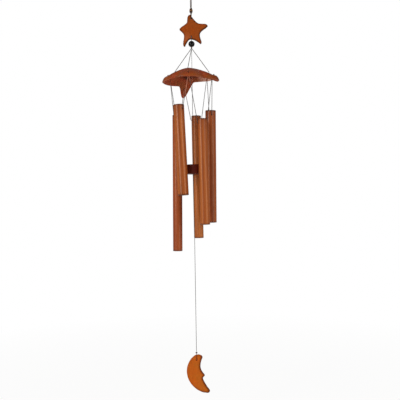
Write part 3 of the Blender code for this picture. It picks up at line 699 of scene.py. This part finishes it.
def shellRim(azimuth):
    nearest = 2.0
    for index, (name, arm) in enumerate(canopy["arms"].items()):
        offset = turnFrom(azimuth, arm[0])
        valley = canopy["valleys"][index] if offset > 0 else canopy["valleys"][index - 1]
        place = offset / turnFrom(valley[0], arm[0])
        if place < nearest:
            nearest = place
            pointed = canopy["webbed"].get(name, arm[4]) if offset < 0 else arm[4]
            share = (0.5 + 0.5 * cos(pi * min(place, 1.0))) ** pointed
            rim = Vector(valley[1:4]).lerp(Vector(arm[1:4]), share)
    return rim


def shellHeight(x, y):
    reach, drop, late = shellRim(atan2(y, x) * 180 / pi)
    share = hypot(x, y) / canopy["reach"] / reach
    fall = (1 - canopy["lip"]) * share ** late + canopy["lip"] * share ** canopy["lipTurn"]
    return canopy["top"] - drop * canopy["reach"] * fall


def shellPoint(azimuth, radius):
    radius *= canopy["reach"]
    x, y = radius * cos(radians(azimuth)), radius * sin(radians(azimuth))
    step = 0.0002
    normal = Vector((shellHeight(x - step, y) - shellHeight(x + step, y),
                     shellHeight(x, y - step) - shellHeight(x, y + step), 2 * step)).normalized()
    return Vector((x, y, shellHeight(x, y))), normal


def shellLook():
    look, wires, shader = newLook("shellVarnished")
    wear = wires.parts(wires.noted("shellWear"))  # cut edge, inside
    shade = wires.parts(wires.noted("shellShade"))  # painted shade in the hollow, painted highlight on the rear right strip, painted highlight on apex and tips
    coords = wires.node("TexCoord").outputs["Object"]
    grain = fibred(wires, wires.noted("shellPlace"), *canopy["grain"])
    cloud = wires.noise(coords, 48.0, 2.0)
    blotch = wires.noise(coords, 85.0, 3.0, 0.6)
    colour = wires.mix(wires.spread(cloud, 0.38, 0.62), canopy["brown"], canopy["red"])
    colour = wires.mix(wires.spread(blotch, 0.5, 0.66, 0.0, 0.6), colour, canopy["olive"])
    colour = wires.mix(wires.spread(blotch, 0.36, 0.46, 0.5, 0.0), colour, canopy["rose"])
    colour = wires.mix(wires.math("MULTIPLY", grain["Streak"], 0.35), colour, canopy["amber"])
    colour = wires.mix(wires.math("MULTIPLY", grain["Pore"], 0.2), colour, canopy["dark"])
    # painted highlight: amber on the apex and the tips
    colour = wires.mix(wires.math("MULTIPLY", shade["Z"], 0.7), colour, canopy["amber"])
    colour = spotted(wires, colour, coords, canopy["spots"])
    inner = wires.mix(wires.spread(cloud, 0.4, 0.65), canopy["inside"], canopy["insideRed"])
    inner = wires.mix(wires.math("MULTIPLY", grain["Streak"], 0.12), inner, canopy["brown"])
    # painted shade: the inside darkens into the hollow under the apex
    inner = wires.mix(shade["X"], inner, canopy["hollowShade"])
    # painted highlight: a pale strip of reflected light on the inside of the rear right arm
    inner = wires.mix(wires.math("MULTIPLY", shade["Y"], 0.85), inner, canopy["paleHighlight"])
    colour = wires.mix(wear["Y"], colour, inner)
    colour = wires.mix(wires.math("MULTIPLY", wear["X"], 0.6), colour, canopy["cut"])
    coat = varnished(wires, coords, 0.24, 0.36)["Roughness"]
    wires.feed(shader, {
        "Base Color": colour, "Roughness": wires.spread(wear["Y"], 0.0, 1.0, coat, 0.7),
        "Normal": bumped(wires, grain["Streak"], 0.12, 0.0001), "Specular IOR Level": 0.25,
        "Specular Tint": canopy["sheen"], "Coat Weight": wires.spread(wear["Y"], 0.0, 1.0, 0.2, 0.0),
        "Coat Roughness": 0.18})
    return look


def makeCanopy():
    hole = canopy["apexHole"] / 2 / canopy["reach"]
    bpy.ops.mesh.primitive_circle_add(vertices=canopy["around"], radius=canopy["apexHole"] / 2)
    shell = added("canopyShell")
    bpy.ops.object.mode_set(mode="EDIT")
    bpy.ops.mesh.select_all(action="SELECT")
    for ring in range(canopy["rings"]):
        bpy.ops.mesh.extrude_edges_move(TRANSFORM_OT_translate={"value": (0, 0, -canopy["ringDrop"])})
        bpy.ops.transform.resize(value=(1.2, 1.2, 1))
    bpy.ops.object.mode_set(mode="OBJECT")
    for vert in shell.data.vertices:  # each ring falls on the shell's own curve
        ring = round(-vert.co.z / canopy["ringDrop"])
        azimuth = azimuthOf(vert.co)
        radius = hole + (shellRim(azimuth)[0] - hole) * (ring / canopy["rings"]) ** canopy["ringEase"]
        vert.co = shellPoint(azimuth, radius)[0]
    cleanUp(shell)
    if sum(face.normal.z for face in shell.data.polygons) < 0:
        shell.data.flip_normals()
    wall = shell.modifiers.new("wall", "SOLIDIFY")
    wall.thickness = canopy["wall"]
    wall.offset = -1
    roundOff(shell, "edge", canopy["edge"], 3, 50)
    applyAll(shell)
    for vert in shell.data.vertices:
        azimuth = azimuthOf(vert.co)
        share = hypot(vert.co.x, vert.co.y) / canopy["reach"] / shellRim(azimuth)[0]
        depth = (shellHeight(vert.co.x, vert.co.y) - vert.co.z) / canopy["wall"]
        if depth < 0.6 and canopy["fullFrom"] < share < 1:  # the upper face, near the tip
            out = (share - canopy["fullFrom"]) / (1 - canopy["fullFrom"])
            for name, lift in canopy["fuller"].items():
                off = min(abs(turnFrom(azimuth, canopy["arms"][name][0])) / canopy["fullHalf"], 1)
                vert.co.z += lift * cos(pi / 2 * off) ** 2 * sin(pi * out ** 2)
    holes = [(arm[0], arm[5]) for arm in canopy["arms"].values()]
    holes += [(canopy["arms"][name][0], radius) for name, radius in canopy["slings"].items()]
    for azimuth, radius in holes:
        place, normal = shellPoint(azimuth, radius)
        drillHole(shell, canopy["hole"], place, normal, 4 * canopy["wall"])
    noteVector(shell, "shellPlace", lambda co: (atan2(co.y, co.x) * 0.03, co.z, hypot(co.x, co.y)))

    def wear(co):
        radius = hypot(co.x, co.y) / canopy["reach"]
        depth = (shellHeight(co.x, co.y) - co.z) / canopy["wall"]
        cut = radius > shellRim(azimuthOf(co))[0] - canopy["cutEdge"] and 0.15 < depth < 1.1
        return (1.0 if cut else 0.0, held(depth * 1.4 - 0.4), 0.0)

    def shade(co):  # painted shade in the hollow, painted highlight on a pale strip at the rear right, painted amber highlight on apex and tips
        radius = hypot(co.x, co.y) / canopy["reach"]
        hollowShade = held((canopy["hollowTo"] - radius) * 8)
        paleHighlight = held(1.5 - abs(turnFrom(azimuthOf(co), canopy["paleAt"])) / canopy["paleHalf"])
        tip = max(0.0, 1 - radius * 4) + max(0.0, (radius - canopy["tipFrom"]) * 4)
        return (hollowShade, paleHighlight * held((radius - canopy["paleFrom"]) * 8), min(tip, 1.0))

    noteVector(shell, "shellWear", wear)
    noteVector(shell, "shellShade", shade)
    softEdges(shell, 45)
    dress(shell, shellLook(), "crown", "shell", "canopy_shell")
    print("chime: canopy", len(shell.data.polygons), "faces")


makeCanopy()


# star and moon boards

starBoard = {
    "hole": (0, 0, -0.0643), "span": 0.0362, "thick": 0.0046, "edge": 0.0019,
    "holes": [(0, 0.016, 0.002), (0, -1.006, 0.0014)], "streaks": (330.0, 22.0, 1.0),
    "grid": 0.0015, "stainAndShadeReach": 0.003, "far": 0.5, "ring": 0.8,
    "spots": [((-0.011, -0.0023, -0.107), 0.016, 0.6, srgb(164, 86, 46))],  # painted highlight: a soft pale patch on the left leg
    "face": srgb(142, 66, 20), "warm": srgb(152, 64, 12), "dull": srgb(132, 68, 30),
    "edgeDark": srgb(58, 20, 4), "grain": srgb(118, 48, 10), "sheen": srgb(255, 206, 160),
    "outline": [(-0.084, 0.238), (0.007, 0.160), (0.127, 0.008), (0.274, -0.157), (0.421, -0.260),
                (0.646, -0.287), (0.846, -0.312), (0.945, -0.406), (0.880, -0.506), (0.677, -0.652),
                (0.514, -0.823), (0.491, -0.970), (0.528, -1.155), (0.578, -1.354), (0.533, -1.445),
                (0.421, -1.373), (0.237, -1.257), (0.063, -1.188), (-0.107, -1.188), (-0.219, -1.304),
                (-0.318, -1.461), (-0.408, -1.591), (-0.467, -1.514), (-0.473, -1.320), (-0.431, -1.083),
                (-0.439, -0.892), (-0.540, -0.751), (-0.676, -0.586), (-0.602, -0.486), (-0.385, -0.329),
                (-0.250, -0.207), (-0.228, -0.061), (-0.185, 0.152)],
}
moonBoard = {
    "hole": (0, 0, -0.7738), "span": 0.0789, "thick": 0.0046, "edge": 0.0019,
    "holes": [(0, 0.004, 0.0014)], "streaks": (330.0, 22.0, 7.0),
    "grid": 0.0015, "stainAndShadeReach": 0.0040, "far": 0.2, "ring": 0.3,
    "spots": [((0.0122, -0.0023, -0.7675), 0.0055, 0.6, srgb(86, 28, 6)),  # both horns
              ((0.0262, -0.0023, -0.8390), 0.0075, 0.6, srgb(86, 28, 6))],
    "face": srgb(182, 93, 20), "warm": srgb(190, 87, 16), "dull": srgb(168, 94, 28),
    "edgeDark": srgb(86, 28, 6), "grain": srgb(150, 64, 12), "sheen": srgb(255, 212, 164),
    "outline": [(0.155, 0.089), (0.101, 0.138), (0.0, 0.144), (-0.101, 0.084), (-0.203, -0.051),
                (-0.260, -0.228), (-0.251, -0.406), (-0.190, -0.564), (-0.082, -0.703), (0.057, -0.805),
                (0.203, -0.856), (0.332, -0.837), (0.264, -0.691), (0.190, -0.558), (0.162, -0.466),
                (0.208, -0.403), (0.155, -0.319), (0.105, -0.209), (0.106, -0.089), (0.132, 0.010)],
}
holeDarkRing = {"clear": 0.003, "reach": 0.001}  # how far a hole's own rim goes, and its dark ring


def boardLook(name, board):
    look, wires, shader = newLook(name)
    coords = wires.node("TexCoord").outputs["Object"]
    rim = wires.parts(wires.noted("boardRim"))  # how near the edge, and the way to it
    # the dark rim is a stained edge, deepened by painted shade on the right and lower edges, turned away from
    # the key lamp
    away = wires.math("SUBTRACT", rim["Y"], wires.math("MULTIPLY", rim["Z"], 0.6))
    side = wires.math("MULTIPLY", rim["X"], wires.spread(away, -0.5, 0.4, board["far"], 1.0))
    grain = fibred(wires, coords, *board["streaks"])
    cloud = wires.noise(coords, 38.0, 2.0)
    colour = wires.mix(wires.spread(cloud, 0.38, 0.62), board["face"], board["warm"])
    colour = wires.mix(wires.math("MULTIPLY", grain["Patch"], 0.3), colour, board["dull"])
    colour = wires.mix(wires.math("MULTIPLY", grain["Streak"], 0.3), colour, board["grain"])
    colour = wires.mix(wires.math("MULTIPLY", grain["Pore"], 0.3), colour, board["edgeDark"])
    colour = spotted(wires, colour, coords, board["spots"])
    colour = wires.mix(wires.math("MULTIPLY", side, 0.95, clamp=True), colour, board["edgeDark"])
    wires.feed(shader, {
        "Base Color": colour, "Roughness": varnished(wires, coords, 0.3, 0.48)["Roughness"],
        "Normal": bumped(wires, grain["Streak"], 0.15, 0.0002), "Specular IOR Level": 0.15,
        "Specular Tint": board["sheen"], "Coat Weight": 0.05, "Coat Roughness": 0.22})
    return look


def ringSpline(curve, points):
    spline = curve.splines.new("BEZIER")
    spline.bezier_points.add(len(points) - 1)
    for knot, (x, y) in zip(spline.bezier_points, points):
        knot.co = (x, y, 0)
        knot.handle_left_type = knot.handle_right_type = "AUTO"
    spline.use_cyclic_u = True


def gridCut(plate, gap):  # a fine grid, so that the edge stain and painted edge shade have points to hold them
    only(plate)
    points = [vert.co.copy() for vert in plate.data.vertices]
    bpy.ops.object.mode_set(mode="EDIT")
    for axis in (0, 2):
        level = min(point[axis] for point in points) + gap
        while level < max(point[axis] for point in points):
            bpy.ops.mesh.select_all(action="SELECT")
            bpy.ops.mesh.bisect(plane_co=[level if k == axis else 0 for k in range(3)],
                                plane_no=[1 if k == axis else 0 for k in range(3)])
            level += gap
    bpy.ops.object.mode_set(mode="OBJECT")


def noteRim(plate, board):  # how near the edge a point is, and which way the edge lies
    span = board["span"]
    holes = [Vector((x * span, 0, board["hole"][2] + z * span)) for x, z, wide in board["holes"]]

    def holeNear(co):
        return min((Vector((co.x, 0, co.z)) - hole).length for hole in holes)

    half = board["thick"] / 2 - board["edge"] + 0.00002
    points = [vert.co for vert in plate.data.vertices]
    wall = [co for co in points if abs(co.y) < half and holeNear(co) > holeDarkRing["clear"]]
    tree = KDTree(len(wall))
    for index, point in enumerate(wall):
        tree.insert((point.x, 0, point.z), index)
    tree.balance()
    note = plate.data.attributes.new("boardRim", "FLOAT_VECTOR", "POINT")
    for vert in plate.data.vertices:
        nearest, index, gone = tree.find((vert.co.x, 0, vert.co.z))
        way = Vector((vert.normal.x, 0, vert.normal.z))
        if way.length < 0.15:  # on the flat
            way = Vector((nearest.x - vert.co.x, 0, nearest.z - vert.co.z))
        way.normalize()
        ring = board["ring"] * (2.2 - holeNear(vert.co) / holeDarkRing["reach"])
        share = max(1.25 - gone / board["stainAndShadeReach"], ring)
        note.data[vert.index].vector = (held(share), way.x, way.z)


def makeBoard(name, board, body, slot, node):
    bpy.ops.curve.primitive_bezier_circle_add(radius=board["span"])
    plate = added(name)
    curve = plate.data
    curve.splines.remove(curve.splines[0])
    ringSpline(curve, [(x * board["span"], y * board["span"]) for x, y in board["outline"]])
    eighths = [(cos(pi * k / 4), sin(pi * k / 4)) for k in range(8)]
    for x, y, wide in board["holes"]:
        x, y = x * board["span"], y * board["span"]
        ringSpline(curve, [(x + a * wide / 2, y + b * wide / 2) for a, b in eighths])
    curve.dimensions = "2D"
    curve.fill_mode = "BOTH"
    curve.resolution_u = 8
    curve.extrude = board["thick"] / 2 - board["edge"]
    curve.bevel_depth = board["edge"]
    curve.bevel_resolution = 4
    curve.offset = -board["edge"]
    bpy.ops.object.convert(target="MESH")
    plate = bpy.context.object
    plate.rotation_euler = (pi / 2, 0, 0)
    plate.location = board["hole"]
    settle(plate)
    cleanUp(plate, 0.00001)
    gridCut(plate, board["grid"])
    noteRim(plate, board)
    softEdges(plate, 40)
    flat = plate.modifiers.new("flatFaces", "WEIGHTED_NORMAL")
    flat.keep_sharp = True
    applyAll(plate)
    dress(plate, boardLook(name + "Wood", board), body, slot, node)
    print("chime: board", name, len(plate.data.polygons), "faces")


makeBoard("starBoard", starBoard, "star", "star_wood", "star_plate")
makeBoard("moonBoard", moonBoard, "moon", "moon_wood", "moon_sail")


# bead

bead = {"place": (0, 0, -0.1163), "across": 0.013, "bore": 0.0032, "rim": 0.0003,
        "black": srgb(10, 10, 11), "dust": srgb(18, 18, 19)}

bpy.ops.mesh.primitive_uv_sphere_add(segments=48, ring_count=32, radius=bead["across"] / 2,
                                     location=bead["place"])
beadPiece = added("blackBead")
settle(beadPiece)
drillHole(beadPiece, bead["bore"], bead["place"], (0, 0, 1), bead["across"] * 1.5)
roundOff(beadPiece, "rim", bead["rim"], 3, 40)
applyAll(beadPiece)
softEdges(beadPiece, 35)
look, wires, shader = newLook("beadGloss")
coords = wires.node("TexCoord").outputs["Object"]
coat = varnished(wires, coords, 0.12, 0.24)
cloud = wires.noise(coords, 400.0, 3.0)
colour = wires.mix(wires.spread(cloud, 0.45, 0.75, 0.0, 0.5), bead["black"], bead["dust"])
wires.feed(shader, {"Base Color": colour, "Roughness": coat["Roughness"], "Specular IOR Level": 0.28,
                    "Normal": bumped(wires, coat["Nibs"], 0.1, 0.0001)})
dress(beadPiece, look, "crown", "black_bead", "bead")
print("chime: bead")


# knots

knots = {
    "thread": 0.3, "core": 0.3,  # shares of the knot
    "stem": 0.0022, "stemTurn": 0.009, "points": 60,
    # across, how far off the shell or at which level, stem
    "string": (0.003, 0.0014, 0.0055), "suspension": (0.0036, 0.0057, 0.0062),
    "gather": (0.0038, -0.125, 0.0065), "clapper": (0.0036, -0.3891, 0.0), "sail": (0.0044, -0.7583, 0.0),
}


def tiedLoop(size, thread):  # an overhand knot's line, drawn up tight
    reach = size / 2 - thread / 2
    line = []
    for k in range(knots["points"]):
        t = 2 * pi * k / knots["points"]
        line.append(Vector((sin(t) + 2 * sin(2 * t), cos(t) - 2 * cos(2 * t), -1.8 * sin(3 * t))) * reach / 3)
    return line


def tieKnot(node, body, place, way, size, look, stem):
    thread = size * knots["thread"]
    way = Vector(way).normalized()
    turn = Matrix.Translation(place) @ way.to_track_quat("Z", "Y").to_matrix().to_4x4()
    line = [turn @ point for point in tiedLoop(size, thread)]
    parts = [twistedMesh(node + "_tied", line, thread, twist["plies"], 5 * thread, True)]
    bpy.ops.mesh.primitive_uv_sphere_add(segments=16, ring_count=10, radius=size * knots["core"])
    parts.append(added("knotCore"))
    parts[1].matrix_world = turn
    settle(parts[1])
    if stem:
        start = Vector(place)
        line = smoothRoute([start, start + way * stem], twist["gap"])
        parts.append(twistedMesh("knotStem", line, knots["stem"], 4, knots["stemTurn"]))
    dress(joined(parts), look, body, "dark_cord", node)


size, off, stem = knots["string"]
for name, arm in canopy["arms"].items():
    place, normal = shellPoint(arm[0], arm[5])
    tieKnot("string_knot_" + name, "crown", place + normal * off, -normal, size, redKnotCord, stem)
size, off, stem = knots["suspension"]
for name, radius in canopy["slings"].items():
    place, normal = shellPoint(canopy["arms"][name][0], radius)
    tieKnot("suspension_knot_" + name, "crown", place - normal * off, normal, size, greyCord, stem)
for name, body, look in (("gather", "crown", redKnotCord), ("clapper", "clapper", greyCord),
                         ("sail", "sail_knot", redKnotCord)):
    size, level, stem = knots[name]
    tieKnot(name + "_knot", body, (0, 0, level), (0, 0, 1), size, look, stem)

hangerKnot = {
    "top": -0.0414, "tall": 0.0116, "wide": 0.0074, "thread": 0.0024, "core": 0.0026,
    "turns": 4.1, "steps": 120, "slim": 0.45, "twist": 0.008, "coreTwist": 0.01,
    "look": threadOf((26, 14, 7), (70, 42, 22), (44, 26, 13), fuzz=1400.0, rough=0.8,
                     # a painted highlight round the knot's middle
                     band=(-0.0470, 0.0018, srgb(150, 104, 66))),
}
coil = []
for k in range(hangerKnot["steps"] + 1):
    share = k / hangerKnot["steps"]
    turn = 2 * pi * hangerKnot["turns"] * share
    belly = hangerKnot["slim"] + (1 - hangerKnot["slim"]) * sin(pi * share) ** 0.7
    reach = (hangerKnot["wide"] - hangerKnot["thread"]) / 2 * belly
    level = hangerKnot["top"] - hangerKnot["thread"] / 2 - (hangerKnot["tall"] - hangerKnot["thread"]) * share
    coil.append(Vector((reach * cos(turn), reach * sin(turn), level)))
wrapped = twistedMesh("hanger_knot_tied", coil, hangerKnot["thread"], twist["plies"], hangerKnot["twist"])
line = smoothRoute([(0, 0, hangerKnot["top"]), (0, 0, hangerKnot["top"] - hangerKnot["tall"])], 0.001)
core = twistedMesh("hangerKnotCore", line, hangerKnot["core"], 4, hangerKnot["coreTwist"])
look = cordLook("hangerKnotCord", hangerKnot["look"])
dress(joined([wrapped, core]), look, "hanger", "brown_cord", "hanger_knot")
print("chime: knots tied")


# clapper

clapper = {"top": -0.3674, "tall": 0.0196, "across": 0.0388, "bore": 0.0026, "edge": 0.0015,
           "turned": [(0.006, 0.0), (0.0006, -0.0003), (0.0006, 0.0003)],  # a groove in both faces: in, deep
           "grain": (380.0, 40.0, 9.0),
           "dark": srgb(84, 20, 5), "mid": srgb(112, 34, 10), "ring": srgb(58, 12, 3)}

middle = (0, 0, clapper["top"] - clapper["tall"] / 2)
bpy.ops.mesh.primitive_cylinder_add(vertices=64, radius=clapper["across"] / 2, depth=clapper["tall"],
                                    location=middle)
disc = added("clapperDisc")
settle(disc)
bpy.ops.object.mode_set(mode="EDIT")
bpy.ops.mesh.select_mode(type="FACE")
bpy.ops.mesh.select_all(action="DESELECT")
work = bmesh.from_edit_mesh(disc.data)
for face in work.faces:
    face.select = abs(face.normal.z) > 0.9
bmesh.update_edit_mesh(disc.data)
for thickness, depth in clapper["turned"]:
    bpy.ops.mesh.inset(thickness=thickness, depth=depth)
bpy.ops.object.mode_set(mode="OBJECT")
roundOff(disc, "edge", clapper["edge"], 4, 60)
applyAll(disc)
drillHole(disc, clapper["bore"], middle, (0, 0, 1), clapper["tall"] * 1.5)
softEdges(disc, 40)
look, wires, shader = newLook("clapperWood")
coords = wires.node("TexCoord").outputs["Object"]
turned = wires.node("Mapping", {"Vector": coords, "Rotation": (0.12, 0.2, 0.0)}).outputs[0]
rings = wires.node("TexWave", {"Vector": turned, "Scale": 190.0, "Distortion": 2.2, "Detail": 3.0},
                   wave_type="RINGS", rings_direction="Z").outputs["Fac"]
grain = fibred(wires, coords, *clapper["grain"])
colour = wires.mix(wires.math("MULTIPLY", rings, 0.6), clapper["dark"], clapper["ring"])
colour = wires.mix(wires.math("MULTIPLY", grain["Streak"], 0.5), colour, clapper["mid"])
wires.feed(shader, {
    "Base Color": colour, "Roughness": varnished(wires, coords, 0.34, 0.55)["Roughness"],
    "Normal": bumped(wires, grain["Height"], 0.15, 0.0002), "Specular IOR Level": 0.2})
dress(disc, look, "clapper", "dark_wood", "clapper_disc")
print("chime: clapper")


print("chime: done")
